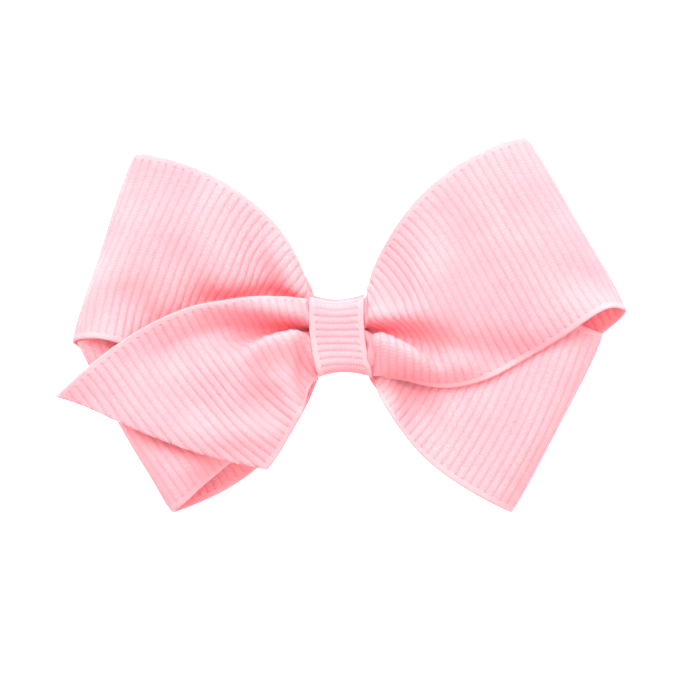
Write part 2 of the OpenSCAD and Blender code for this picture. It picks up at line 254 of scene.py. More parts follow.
# Where a layer swells or is pressed in: along a line in the bow's face, how high at most, how far
# this reaches below and above the line, and how far it is pushed sideways, up the bow's face. The
# first ones make the lobes and pockets beside the knot, whose lower lip hangs over its valley.
RELIEFS = (
    ("upper_right_front", [(2.8, 0.3), (6.3, 0.0), (9.2, -1.4), (12.8, -4.0)], -2.4, (0.8, 2.2), -0.5),
    ("upper_right_front", [(3, -1.1), (6.3, -1.4), (9.2, -3.0), (14, -6.1)], 3.2, (4.5, 0.7), 0.9),
    ("upper_right_front", [(3, 1.8), (6, 2.4), (9, 3.2), (14, 1)], 2.4, (1.5, 5.0), -0.3),
    ("upper_right_front", [(7, 1), (12, -1.6), (18, -3.4), (26, -0.8)], -2.0, (2.6, 6.0), 0),
    ("upper_right_front", [(2, -5.6), (10, -7.4), (20, -5.6), (31, 2.4)], -2.1, (3.0, 4.6), 0),
    ("tail_front", [(-3.7, 0.7), (-6.5, 0.9), (-10, 0.6), (-17, -1.5)], -2.0, (0.8, 1.6), -0.4),
    ("tail_front", [(-3.7, -0.7), (-6.5, -0.3), (-10, -1.2), (-17, -3.7)], 2.4, (9.0, 0.7), 0.8),
    ("tail_front", [(-6, -9), (-8, -14), (-19, -11.5), (-30, -8.5)], 0.9, (3.0, 6.0), 0),
    ("tail_front", [(-4, 2.2), (-8, 3.2), (-12, 4.2), (-20, 2.8)], 2.2, (1.4, 3.0), -0.2),
    ("tail_front", [(-7, 1.2), (-12, 0.9), (-17, -0.8), (-26, -4.5)], -1.8, (4.0, 3.6), 0),
    ("upper_left_front", [(-4.2, 4.2), (-9, 4.2), (-16, 3), (-26, -2)], -2.4, (5.0, 7.0), 0),
)

# The sharp lips of the two pockets: along a line, how far each rises beside its pocket, and how
# far it is pushed over the pocket.
LIPS = (
    ("upper_right_front", [(2.7, -0.5), (5.2, -0.55), (8.5, -2.4), (13, -5.3)], 1.7, 0.95),
    ("tail_front", [(-3.6, -0.3), (-5.8, -0.15), (-8.5, -0.9), (-12.8, -2.5)], 1.7, 0.8),
)
LIP_BELOW = 3.4  # how far a lip's swelling reaches down the bow's face
LIP_ABOVE = 0.55  # and how soon it drops into the pocket

# ---------------- folding the ribbon

ROW_STEP = 0.85  # from one row of cloth points to the next
CLOTH_COLUMNS = 31  # cloth points across the ribbon
CORNER_INSET = 0.5  # how much a fold's ends are rounded off
CORNER_TIGHTNESS = 8  # exponent of that rounding across the ribbon
ROUNDS = 220
RELIEF_ROUNDS = 90
SWEEPS = 4  # pulls on every edge in each round
BENDING = ((1, 0.03, 0.05), (2, 0.015, 0.03))  # rows apart, stiffness along and across the ribbon
EDGE_FIRM = 0.9  # share of a stretch across that one pull takes back
SLANT_FIRM = 0.5  # and of one along a cell's slants
GATHER_REACH = 20.0  # from the waist to where the ribbon has its full width
LOOSE, STIFF = 0.02, 0.9  # resistance to squeezing, in the waist and away from it
LOOSE_REACH, STIFF_REACH = 2.0, 12.0  # how far out it starts to grow, and stops
START_DEPTH = 0.6  # how far below its pass's crest a layer starts
OPENED = 0.45  # share of a layer at which it has spread out
SELVEDGE_PULL = 0.35  # share of its way that a selvedge is drawn each time
SELVEDGE_COLUMNS = 5  # columns that move with it, less and less
FREE_ROWS = 4  # rows beside a slanted fold that are let go
FOLD_PULL = 0.5  # share of its way that a fold is drawn to its line
FOLD_CORNER_PULL = 0.2  # and that its corners and height are drawn
CLIP_HALF = 3.6  # half width of the space that the clip takes under the loops
CLIP_PAST = 0.4  # and how far past the lining's tip it goes
CLIP_GAP = 0.25  # from the lining to the middle of the lowest layer
TABLE_GAP = 3.0  # least height of a loop's back beside the clip
RELIEF_GRIP = 0.7  # share of its way that a relief moves the cloth
FULL_GRIP = 0.6  # movement from which a relief's grip is full
RELIEF_FADES = (0.3, 0.45)  # shares of a relief's line over which it grows and dies away
RELIEF_START = (0.35, 0.3)  # shares of its height and upper reach at its line's start
RELIEF_SUPPLE = 0.8  # share of the cloth's stiffness that a relief takes away
PUSH_REACH = 1.2  # greatest reach of a relief's sideways push
LIP_FADES = (0.25, 0.45)  # shares of a lip's line over which it grows and dies away
LINE_POINTS = 120  # points on a relief's line
SECTION_POINTS = 400  # points on a pass's section
TINY = 1e-9  # keeps a divisor from being nothing


def waist_section(number, across):
    """A pinched pass in the YZ plane: two crests, and a pleat whose lower wall stands upright."""
    crest, depth = PASSES[number]
    shape = np.array([(-1, -1.5), (-0.98, -0.6), (-0.7, -0.1), (-0.2, 0.05), (0.06, 0), (0.14, -0.2),
                      (0.16, -0.5 * depth), (0.14, -0.85 * depth), (0.19, -depth), (0.24, -0.85 * depth),
                      (0.25, -0.5 * depth), (0.28, -0.2), (0.38, 0), (0.7, 0), (0.96, -0.45), (1, -1.4)])
    just_before_end = len(shape) - 1.001
    t = np.linspace(0, just_before_end, SECTION_POINTS)
    base = t.astype(int)
    line = catmull(lambda i: shape[i], base, len(shape), (t - base)[:, None])
    line = line * (WAIST_HALF, 1) + (WAIST_MIDDLE, crest)
    return even_points(line, across / RIBBON_WIDTH + 0.5)


def pinched(section, x):
    """A waist section drawn in towards the waist's middle, most of all under the thread."""
    open_share = min(1, (x / WAIST_X) ** 2)
    left = np.array(WAIST_PINCH)
    middle = (WAIST_MIDDLE, WAIST_MIDDLE_Z)
    return middle + (section - middle) * (left + (1 - left) * open_share)


def layer_row(layer, inset, share, across):
    """First guess of one row of points across a layer, at a share of the way from the waist."""
    upper = even_points(layer.selvedge(1, inset), [share])[0]
    lower = even_points(layer.selvedge(-1, inset), [share])[0]
    section = waist_section(layer.number, across)
    start = PASSES[layer.number][0] - START_DEPTH
    height = bezier([start, *layer.heights], share)[0]
    opened = smooth(share / OPENED)
    spread = (section[:, 0] - section[0, 0]) / (section[-1, 0] - section[0, 0])
    spread = spread * (1 - opened) + (across / RIBBON_WIDTH + 0.5) * opened
    place = lower + (upper - lower) * spread[:, None]
    return np.column_stack([place, section[:, 1] * (1 - opened) + height * opened])


def fold_row(front, back, turn, across):
    """First guess of a row round the fold between two layers, at a turn from 0 to pi."""
    radius = abs(front.heights[2] - back.heights[2]) / 2
    rise = np.sign(front.heights[2] - back.heights[2])
    middle = (front.heights[2] + back.heights[2]) / 2
    share = (across / RIBBON_WIDTH + 0.5)[:, None]
    place = front.lower[2] + (front.upper[2] - front.lower[2]) * share
    slide = (front.slide * (1 + math.cos(turn)) + back.slide * (1 - math.cos(turn))) / 2
    place = place + front.fold_out() * radius * (math.sin(turn) - 1) + slide
    return np.column_stack([place, np.full(len(across), middle + rise * radius * math.cos(turn))])


class Cloth:
    """The ribbon as rows of points: where each is on the flat ribbon, and where it starts folded."""

    def __init__(self):
        self.across = np.linspace(-RIBBON_WIDTH / 2, RIBBON_WIDTH / 2, CLOTH_COLUMNS)
        self.points, self.along, self.part, self.pinned = [], [], [], []
        done = 0.0
        for step, (kind, what, length) in enumerate(ROUTE):
            count = max(4, round(length / ROW_STEP))
            starts = self.skew(step - 1) if step else CUT_SKEW[0]
            ends = self.skew(step + 1) if step < len(ROUTE) - 1 else CUT_SKEW[1]
            for k in range(0 if step == 0 else 1, count + 1):
                t = k / count
                if kind == "pass":
                    skew = PINCH_SKEW[what]
                elif kind == "loop":
                    skew = starts * max(0, 1 - 2 * t) + ends * max(0, 2 * t - 1)
                else:
                    skew = starts * (1 - t) + ends * t
                self.along.append(done + t * length + skew * self.across / (RIBBON_WIDTH / 2))
                self.add_row(kind, what, length, t)
            done += length
        self.points, self.along = np.array(self.points), np.array(self.along)
        self.free = np.where(np.array(self.pinned)[:, None], 0.0, np.ones(self.along.shape))

    @staticmethod
    def skew(step):
        """Skew of the pinched pass at a step of the route, if one is there."""
        return PINCH_SKEW[ROUTE[step][1]] if ROUTE[step][0] == "pass" else 0.0

    def add_row(self, kind, what, length, t):
        """First guess of the row at a share t of one step of the route."""
        self.pinned.append(kind == "pass")
        if kind == "pass":
            x = (1 if what % 2 else -1) * WAIST_X * (2 * t - 1)
            section = pinched(waist_section(what, self.across), x)
            row = np.column_stack([lean(x, section[:, 0]), section])
            part = None
        elif kind == "tail":
            part = what[0]
            share = 1 - t if LAYERS[part].side < 0 else t
            row = layer_row(LAYERS[part], 0, share, self.across)
        else:
            front, back = LAYERS[what[0]], LAYERS[what[1]]
            radius = abs(front.heights[2] - back.heights[2]) / 2
            straight = (length - math.pi * radius) / 2
            here = t * length
            part = what[0] if t < 0.5 else what[1]
            if here < straight:
                row = layer_row(front, radius, here / straight, self.across)
            elif here > length - straight:
                row = layer_row(back, radius, (length - here) / straight, self.across)
            else:
                row = fold_row(front, back, (here - straight) / radius, self.across)
        self.points.append(row)
        self.part.append(part)

    def rows_of(self, name):
        """Numbers of a layer's rows."""
        return np.array([i for i, part in enumerate(self.part) if part == name])


def pull_edges(points, free, first, second, rest, firm, squeezed):
    """Moves the ends of each edge towards its rest length: firm when stretched, squeezed when short."""
    a, b = points[first], points[second]
    edge = b - a
    length = np.sqrt((edge * edge).sum(-1)) + TINY
    give = np.where(length < rest, squeezed, firm)
    share = (give * (length - rest) / length / (free[first] + free[second] + TINY))[..., None] * edge
    points[first] = a + share * free[first][..., None]
    points[second] = b - share * free[second][..., None]


def resist_bending(points, free, along, across, reach):
    """One step of the cloth's stiffness against bending along and across the ribbon."""
    force = np.zeros_like(points)
    for stiffness, axes in ((along, (0, 1, 2)), (across, (1, 0, 2))):
        bent, pull = points.transpose(axes), force.transpose(axes)
        curve = bent[:-2 * reach] - 2 * bent[reach:-reach] + bent[2 * reach:]
        pull[:-2 * reach] += stiffness * curve
        pull[reach:-reach] -= 2 * stiffness * curve
        pull[2 * reach:] += stiffness * curve
    points -= force * free[..., None]


class HeightMap:
    """Mean height of a layer over the cells of a grid in the bow's face."""

    CELL = 0.8
    LOW = np.array([-37.0, -26.0])
    COUNT = (94, 66)
    THERE = 0.15           # least weight in the cells round a point for the layer to be there

    def __init__(self, points):
        self.z = points[:, 2]
        place = (points[:, :2] - self.LOW) / self.CELL
        last_cell = np.array(self.COUNT) - 2.001
        place = np.clip(place, 0, last_cell)
        cell = place.astype(int)
        fx, fy = (place - cell).T
        corner = cell[:, 1] * self.COUNT[0] + cell[:, 0]
        self.index = np.stack([corner, corner + 1, corner + self.COUNT[0], corner + self.COUNT[0] + 1])
        self.weight = np.stack([(1 - fx) * (1 - fy), fx * (1 - fy), (1 - fx) * fy, fx * fy])
        cells = self.COUNT[0] * self.COUNT[1]
        self.mass = np.bincount(self.index.ravel(), self.weight.ravel(), cells)
        self.height = np.bincount(self.index.ravel(), (self.weight * self.z).ravel(), cells)

    def under(self, other):
        """Height of this layer at the other's points, and where it is there at all."""
        mass = (self.mass[other.index] * other.weight).sum(0)
        height = (self.height[other.index] * other.weight).sum(0) / np.maximum(mass, TINY)
        return height, mass > self.THERE


def keep_layers_apart(points, free, rows):
    """Lifts each layer off the ones behind it, and keeps the backs of the loops off the clip."""
    for order in FRONT_TO_BACK:
        maps = {name: HeightMap(points[rows[name]].reshape(-1, 3)) for name in order}
        for k, above in enumerate(order):
            for below in order[k + 1:]:
                height, there = maps[below].under(maps[above])
                lift = np.where(there, np.clip(height + LAYER_GAP - maps[above].z, 0, 1), 0) / 2
                height, there = maps[above].under(maps[below])
                drop = np.where(there, np.clip(maps[below].z + LAYER_GAP - height, 0, 1), 0) / 2
                for name, move in ((above, lift), (below, -drop)):
                    points[rows[name], :, 2] += move.reshape(len(rows[name]), -1) * free[rows[name]]
    x, y, z = np.moveaxis(points, -1, 0)
    on_clip = (np.abs(y) < CLIP_HALF) & (x > LINING_LOW[0] - CLIP_PAST) & (x < ARM_HIGH[0])
    lowest = np.where(on_clip, LINING_HIGH[2] + CLIP_GAP, TABLE_GAP)
    points[..., 2] = np.where(free > 0, np.maximum(z, lowest), z)


def hold_selvedges(points, free, rows):
    """Draws each layer's selvedges sideways onto their outlines, and lets them slide along."""
    for name, layer in LAYERS.items():
        for which, hold in zip((1, -1), layer.holds):
            line = layer.selvedge(which)
            here = points[rows[name], -1 if which > 0 else 0, :2]
            nearest = ((here[:, None] - line[None]) ** 2).sum(-1).argmin(1).clip(1, len(line) - 2)
            way = line[nearest + 1] - line[nearest - 1]
            way /= np.linalg.norm(way, axis=1, keepdims=True)
            square = np.stack([-way[:, 1], way[:, 0]], axis=1)
            off = np.clip(((line[nearest] - here) * square).sum(1, keepdims=True), -1, 1) * square
            if layer.slide.any():
                off *= smooth(np.abs(rows[name] - layer.apex) / FREE_ROWS)[:, None]
            for inner in range(SELVEDGE_COLUMNS):
                column = -1 - inner if which > 0 else inner
                fade = SELVEDGE_PULL * hold * (1 - inner / SELVEDGE_COLUMNS)
                points[rows[name], column, :2] += fade * off * free[rows[name], column][:, None]


def hold_folds(points):
    """Draws the middle row of each loop's fold onto the fold's line."""
    rounding = CORNER_INSET * np.linspace(-1, 1, points.shape[1]) ** CORNER_TIGHTNESS
    for kind, what, length in ROUTE:
        if kind != "loop":
            continue
        front, back = LAYERS[what[0]], LAYERS[what[1]]
        row = points[front.apex]
        out = front.fold_out()
        short = (front.upper[2] - row[:, :2]) @ out - rounding
        row[:, :2] += FOLD_PULL * short[:, None] * out
        row[:, 2] += FOLD_CORNER_PULL * ((front.heights[2] + back.heights[2]) / 2 - row[:, 2])
        row[-1, :2] += FOLD_CORNER_PULL * (front.upper[2] - row[-1, :2])
        row[0, :2] += FOLD_CORNER_PULL * (front.lower[2] - row[0, :2])


def beside_line(place, line):
    """For places in the bow's face: share of the way along a Bezier line, offset from it, distance."""
    line = bezier(line, np.linspace(0, 1, LINE_POINTS))
    away = place[..., None, :] - line
    nearest = (away ** 2).sum(-1).argmin(-1)
    off = np.take_along_axis(away, nearest[..., None, None], -2)[..., 0, :]
    return nearest / (len(line) - 1), off, np.linalg.norm(off, axis=-1)


def relief_moves(points, rows):
    """How far each point is to be moved by the reliefs."""
    moves = np.zeros_like(points)
    (grow, die), (low, narrow) = RELIEF_FADES, RELIEF_START
    for name, line, highest, (below, above), push in RELIEFS:
        share, off, distance = beside_line(points[rows[name], :, :2], line)
        reach = np.where(off[..., 1] < 0, below, above * (narrow + (1 - narrow) * share))
        fade = (low + (1 - low) * smooth(share / grow)) * smooth((1 - share) / die)
        moves[rows[name], :, 2] += highest * fade * smooth(1 - distance / reach)
        moves[rows[name], :, 1] += push * fade * smooth(1 - distance / min(below, above, PUSH_REACH))
    return moves


def raise_lips(points, place, rows):
    """Raises the pockets' lower lips on the finely divided ribbon; place is each point's cloth row."""
    grow, die = LIP_FADES
    for name, line, rise, push in LIPS:
        first, last = rows[name][[0, -1]]
        share, off, distance = beside_line(points[..., :2], line)
        fade = smooth(share / grow) * smooth((1 - share) / die) * (place >= first) * (place <= last)
        reach = np.where(off[..., 1] < 0, LIP_BELOW, LIP_ABOVE)
        swell = fade * smooth(1 - distance / reach)
        points[..., 1] += push * swell
        points[..., 2] += rise * swell


class RestLengths:
    """Lengths that the cloth's edges keep; across the ribbon they shrink where it is gathered."""

    def __init__(self, cloth):
        pinned = np.flatnonzero(cloth.pinned)
        number = np.arange(len(cloth.points))
        nearest = np.array([pinned[np.abs(pinned - i).argmin()] for i in number])
        away = np.abs(nearest - number) * ROW_STEP
        gathered = np.linalg.norm(np.diff(cloth.points[nearest], axis=1), axis=2).sum(1) / RIBBON_WIDTH
        wide = gathered + (1 - gathered) * smooth(away / GATHER_REACH)
        half = (wide[1:] + wide[:-1])[:, None] / 2 * np.diff(cloth.across)
        self.along = np.abs(np.diff(cloth.along, axis=0))
        self.across = np.hypot(wide[:, None] * np.diff(cloth.across), np.diff(cloth.along, axis=1))
        self.slant = np.hypot(half, cloth.along[1:, 1:] - cloth.along[:-1, :-1])
        self.counter = np.hypot(half, cloth.along[1:, :-1] - cloth.along[:-1, 1:])
        stiffened = smooth((away - LOOSE_REACH) / (STIFF_REACH - LOOSE_REACH))
        self.squeezed = (LOOSE + (STIFF - LOOSE) * stiffened)[:, None]


def pull_cloth(points, free, rest):
    """Pulls all edges once, along, across and on both slants; each time every other one first."""
    count, columns = free.shape
    for odd in (0, 1):
        pull_edges(points, free, np.s_[odd:count - 1:2], np.s_[odd + 1:count:2], rest.along[odd::2], 1, 1)
    for odd in (0, 1):
        pull_edges(points, free, np.s_[:, odd:columns - 1:2], np.s_[:, odd + 1:columns:2],
                   rest.across[:, odd::2], EDGE_FIRM, rest.squeezed)
    for odd in (0, 1):
        soft = rest.squeezed[odd:count - 1:2] / 2
        here, there = np.s_[odd:count - 1:2, :-1], np.s_[odd + 1:count:2, 1:]
        pull_edges(points, free, here, there, rest.slant[odd::2], SLANT_FIRM, soft)
        here, there = np.s_[odd:count - 1:2, 1:], np.s_[odd + 1:count:2, :-1]
        pull_edges(points, free, here, there, rest.counter[odd::2], SLANT_FIRM, soft)


def fold_cloth(cloth):
    """Relaxes the ribbon, so that it keeps its flat size while it is pinched, folded and stacked."""
    points, free, rest = cloth.points.copy(), cloth.free, RestLengths(cloth)
    rows = {name: cloth.rows_of(name) for name in LAYERS}
    for kind, what, length in ROUTE:
        if kind == "loop":
            LAYERS[what[0]].apex = LAYERS[what[1]].apex = rows[what[1]][0]
    bendy = free
    for turn in range(ROUNDS + RELIEF_ROUNDS):
        if turn == ROUNDS:
            moves = relief_moves(points, rows)
            wanted = points + moves
            grip = RELIEF_GRIP * smooth(np.abs(moves) / FULL_GRIP) * free[..., None]
            bendy = free * (1 - RELIEF_SUPPLE * grip.max(-1))
        if turn >= ROUNDS:
            points += grip * (wanted - points)
        for reach, along, across in BENDING:
            resist_bending(points, bendy, along, across, reach)
        if turn % 2 == 0:
            hold_selvedges(points, free, rows)
        hold_folds(points)
        keep_layers_apart(points, free, rows)
        for sweep in range(SWEEPS):
            pull_cloth(points, free, rest)
    return points, rows


# ---------------- meshes

BORDER_STEPS = (0, 0.1, 0.35, SELVEDGE - 0.1, SELVEDGE + 0.15)  # places inward from a ribbon's edge
BORDER_HEIGHTS = (-0.06, 0.02, 0.06, 0.03, 0.0)  # and the woven border's height there
RIB_STEPS = (0, 0.16, 0.5, 0.84)  # a rib's groove, flank, crown and flank, as shares of the pitch
RIB_FULLNESS = 2.3  # exponent of a rib's section; 2 is a parabola
END_MARGIN = 0.02  # least distance from a ribbon's cut end to its next row
RIBBON_COLUMNS = 30  # mesh points across the bow's ribbon, between its borders
STRIP_COLUMNS = 13  # and across a narrow one
RIBBON_WELD, SMALL_WELD = 0.004, 0.002  # points closer than this become one


def add_mesh(name, points, faces, flat=None):
    """A mesh object from points in millimetres; flat is where each point is on the flat cloth."""
    mesh = bpy.data.meshes.new(name)
    mesh.vertices.add(len(points))
    mesh.vertices.foreach_set("co", (np.asarray(points, float) * MM).ravel())
    faces = np.asarray(faces, int)
    mesh.loops.add(faces.size)
    mesh.loops.foreach_set("vertex_index", faces.ravel())
    mesh.polygons.add(len(faces))
    mesh.polygons.foreach_set("loop_start", np.arange(0, faces.size, faces.shape[1]))
    mesh.polygons.foreach_set("use_smooth", np.ones(len(faces), bool))
    if flat is not None:
        places = mesh.attributes.new("flat", "FLOAT_VECTOR", "POINT")
        places.data.foreach_set("vector", np.asarray(flat, float).ravel())
    mesh.update(calc_edges=True)
    mesh.validate()
    piece = bpy.data.objects.new(name, mesh)
    bpy.context.collection.objects.link(piece)
    return piece


def weld(piece, distance):
    """Merges points closer than a distance in millimetres, such as where rows meet a slanted cut."""
    work = bmesh.new()
    work.from_mesh(piece.data)
    bmesh.ops.remove_doubles(work, verts=work.verts, dist=distance * MM)
    bmesh.ops.recalc_face_normals(work, faces=work.faces)
    work.to_mesh(piece.data)
    work.free()


def grid_faces(rows, columns, start=0, closed=False):
    """Quads over a grid of points; closed joins the last row to the first."""
    i, j = np.meshgrid(np.arange(rows if closed else rows - 1), np.arange(columns - 1), indexing="ij")
    a = i * columns + j
    b = (i + 1) % rows * columns + j
    return start + np.stack([a, b, b + 1, a + 1], axis=-1).reshape(-1, 4)


def thick_sheet(name, front, back, along, across):
    """A closed thin body between two grids of points; along and across are places on the flat cloth."""
    rows, columns = front.shape[:2]
    size = rows * columns
    faces = [grid_faces(rows, columns), grid_faces(rows, columns, size)[:, ::-1]]
    long_way = np.arange(rows - 1) * columns
    short_way = np.arange(columns - 1)
    for here, step, flip in ((long_way, columns, 1), (long_way + columns - 1, columns, -1),
                             (short_way, 1, -1), (short_way + size - columns, 1, 1)):
        wall = np.stack([here, size + here, size + here + step, here + step], axis=-1)
        faces.append(wall[:, ::flip])
    points = np.concatenate([front.reshape(-1, 3), back.reshape(-1, 3)])
    flat = np.stack([along, across, np.zeros_like(along)], axis=2).reshape(-1, 3)
    return add_mesh(name, points, np.concatenate(faces), np.concatenate([flat, flat]))


def rib_rows(start, end, pitch):
    """Places along a ribbon: in each groove, on each rib's crown and on its two flanks."""
    first, last = math.floor(start / pitch), math.ceil(end / pitch)
    places = (np.arange(first, last)[:, None] + np.array(RIB_STEPS)).ravel() * pitch
    between = (places > start + END_MARGIN) & (places < end - END_MARGIN)
    return np.concatenate([[start], places[between], [end]])


def edge_columns(width, inner_count):
    """Places across a ribbon: close together on the selvedges, even between them."""
    border = width / 2 - np.array(BORDER_STEPS)
    inner = np.linspace(-border[-1], border[-1], inner_count)
    return np.concatenate([-border[:-1], inner, border[:-1][::-1]])


def rib_relief(along, across, width, pitch, height):
    """Height of the woven relief over the groove level, at places on the flat ribbon."""
    phase = along / pitch % 1
    rib = height * (1 - np.abs(2 * phase - 1) ** RIB_FULLNESS)
    inside = width / 2 - np.abs(across)
    ribs = rib * smooth((inside - BORDER_STEPS[-2]) / (BORDER_STEPS[-1] - BORDER_STEPS[-2]))
    return ribs + np.interp(inside, BORDER_STEPS, BORDER_HEIGHTS)


def sample_rows(grid, place):
    """Smooth values of a grid of rows at fractional row numbers, one list of them per column."""
    count = len(grid)
    base = np.clip(place.astype(int), 0, count - 2)
    column = np.arange(grid.shape[1])[None, :]
    return catmull(lambda i: grid[i, column], base, count, (place - base)[..., None])


def sample_columns(grid, place):
    """Smooth values of a grid at fractional column numbers, the same for each row."""
    count = grid.shape[1]
    base = np.clip(place.astype(int), 0, count - 2)
    t = (place - base).reshape((1, -1) + (1,) * (grid.ndim - 2))
    return catmull(lambda i: grid[:, i], base, count, t)


def surface_normals(points):
    """Unit normals of a grid of points, taken over wide steps where rows run together at a cut."""
    reach, nothing = 3, 1e-6
    count = len(points)
    ahead = points[np.minimum(np.arange(count) + reach, count - 1)]
    back = points[np.maximum(np.arange(count) - reach, 0)]
    side = np.empty_like(points)
    side[:, 1:-1] = points[:, 2:] - points[:, :-2]
    side[:, 0] = side[:, 1]
    side[:, -1] = side[:, -2]
    normals = np.cross(side, ahead - back)
    length = np.linalg.norm(normals, axis=2)
    for i in list(range(count - 2, -1, -1)) + list(range(1, count)):
        near = i + 1 if i < count // 2 else i - 1
        empty = length[i] < nothing
        normals[i][empty], length[i][empty] = normals[near][empty], length[near][empty]
    return normals / length[..., None]


def make_bow_ribbon():
    """The folded ribbon: its cloth divided finely along and across, its lips raised, its ribs modelled."""
    cloth = Cloth()
    points, rows = fold_cloth(cloth)
    across = edge_columns(RIBBON_WIDTH, RIBBON_COLUMNS)
    column = (across / RIBBON_WIDTH + 0.5) * (CLOTH_COLUMNS - 1)
    points = sample_columns(points, column)
    along_grid = sample_columns(cloth.along, column)
    along = rib_rows(along_grid.min(), along_grid.max(), RIB_PITCH)
    number = np.arange(len(along_grid))
    place = np.stack([np.interp(along, along_grid[:, j], number) for j in range(len(across))], axis=1)
    points = sample_rows(points, place)
    raise_lips(points, place, rows)
    normals = surface_normals(points)
    real = np.stack([np.interp(place[:, j], number, along_grid[:, j]) for j in range(len(across))], axis=1)
    wide = np.broadcast_to(across, real.shape)
    half = RIBBON_CORE / 2 + rib_relief(real, wide, RIBBON_WIDTH, RIB_PITCH, RIB_HEIGHT)
    offset = normals * half[..., None]
    piece = thick_sheet("bow_ribbon_folded", points - offset, points + offset, real, wide)
    weld(piece, RIBBON_WELD)
    finish_piece(piece, "bow", "bow_ribbon", grosgrain("pink grosgrain", RIBBON_WIDTH, RIB_PITCH))


def finish_piece(piece, body, node, material):
    """Parents a Blender piece to its body, if it has one, hides the CAD node that it stands for, and gives it
    its finish.
    """
    if body:
        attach(piece, body)
    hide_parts(node)
    piece.data.materials.append(material)
    return piece


CORNER_POINTS = 9


def rounded_loop(half_width, bottom, top, rounding, centre, count):
    """Even points of an upright rounded rectangle in the YZ plane, from its bottom's middle through +Y."""
    corners = ((half_width, bottom, -90), (half_width, top, 0),
               (-half_width, top, 90), (-half_width, bottom, 180))
    line = [(0, bottom)]
    for y, z, first in corners:
        middle = (y - math.copysign(rounding, y), z + (rounding if z == bottom else -rounding))
        for angle in np.radians(np.linspace(first, first + 90, CORNER_POINTS)):
            line.append((middle[0] + rounding * math.cos(angle), middle[1] + rounding * math.sin(angle)))
    line.append((0, bottom))
    line = np.array(line) + (centre, 0)
    length = steps_of(line).sum()
    return even_points(line, np.linspace(0, 1, count)), length


def ribbed_strip(name, line, normals, length, width, place_across):
    """A narrow ribbed ribbon along a line; place_across turns a point and a place across into X, Y, Z."""
    along = rib_rows(0, length, NARROW_PITCH)
    across = edge_columns(width, STRIP_COLUMNS)
    share = along / length * (len(line) - 1)
    number = np.arange(len(line))
    row, out = follow(line, share, number), follow(normals, share, number)
    out /= np.linalg.norm(out, axis=1, keepdims=True)
    wide, far = np.meshgrid(across, along)
    half = NARROW_CORE / 2 + rib_relief(far, wide, width, NARROW_PITCH, NARROW_RIB)
    sides = [place_across(row[:, None] + way * half[..., None] * out[:, None], wide) for way in (1, -1)]
    piece = thick_sheet(name, *sides, far, wide)
    weld(piece, SMALL_WELD)
    return piece


def line_normals(line):
    """Unit normals of a line in a plane, on its right-hand side."""
    way = np.gradient(line, axis=0)
    return np.stack([way[:, 1], -way[:, 0]], axis=1) / np.linalg.norm(way, axis=1, keepdims=True)


WRAP_POINTS = 500  # points once round the wrap
LAP_GAP = 0.02  # between the wrap's end and its start under it
LAP_STEEPNESS = 2.5  # how steeply the wrap rises onto its start
KNOT_GAP = 0.08  # between the knot and the wrap's edges
WRAP_FADE = 3.0  # height over which the wrap's taper and flare fade
FLARE_FROM = 10.0  # height where the flare starts


def make_centre_wrap(material):
    """Narrow ribbon once around the knot, its end glued over its start under the clip's arm."""
    inner = np.array([WRAP_LOW[1], WRAP_LOW[2], WRAP_HIGH[2]]) + np.array([1, 1, -1]) * WRAP_THICK
    half = WAIST_MIDDLE - inner[0] + NARROW_HALF
    bottom, top = inner[1] - NARROW_HALF, inner[2] + NARROW_HALF
    loop, length = rounded_loop(half, bottom, top, WRAP_ROUNDING, WAIST_MIDDLE, WRAP_POINTS)
    lap = round(WRAP_LAP / length * WRAP_POINTS)
    line = np.concatenate([loop, loop[1:lap + 1]])
    normals = line_normals(line)
    place = np.arange(len(line)) - WRAP_POINTS
    line = line + normals * (2 * NARROW_HALF + LAP_GAP) * smooth(place[:, None] / lap * LAP_STEEPNESS + 1)
    saddle = (WAIST_HALF + KNOT_GAP + NARROW_HALF) / half - 1

    def across_waist(points, wide):
        """The wrap follows the knot's lean, hugs it at the edges and flares a little on top."""
        edge = (wide / (WRAP_WIDTH / 2)) ** 2
        taper = 1 - WRAP_TAPER * smooth((inner[2] - points[..., 1]) / WRAP_FADE)
        y = WAIST_MIDDLE + (points[..., 0] - WAIST_MIDDLE) * (1 + saddle * edge) * taper
        z = points[..., 1] + WRAP_FLARE * edge * smooth((points[..., 1] - FLARE_FROM) / WRAP_FADE)
        return np.stack([lean(wide, y), y, z], axis=-1)

    piece = ribbed_strip("centre_wrap_ribbon", line, normals, length + WRAP_LAP, WRAP_WIDTH, across_waist)
    return finish_piece(piece, "bow", "centre_wrap", material)


def make_clip_lining(material):
    """Narrow ribbon glued along the arm's top, round its tip and back under it."""
    turn_points, line_points = 25, 600
    top, under = LINING_HIGH[2] - NARROW_HALF, LINING_LOW[2] + NARROW_HALF
    turn = (top - under) / 2
    tip = LINING_LOW[0] + NARROW_HALF + turn
    arc = [(tip - turn * math.sin(angle), (top + under) / 2 + turn * math.cos(angle))
           for angle in np.linspace(0, math.pi, turn_points)]
    line = np.array([(LINING_HIGH[0], top), *arc, (LINING_UNDER_END, under)])
    length = steps_of(line).sum()
    line = even_points(line, np.linspace(0, 1, line_points))

    def over_arm(points, wide):
        """The lining lies straight across the arm."""
        return np.stack([points[..., 0], wide, points[..., 1]], axis=-1)

    width = LINING_HIGH[1] - LINING_LOW[1]
    piece = ribbed_strip("clip_lining_ribbon", line, -line_normals(line), length, width, over_arm)
    return finish_piece(piece, "bow", "clip_lining", material)


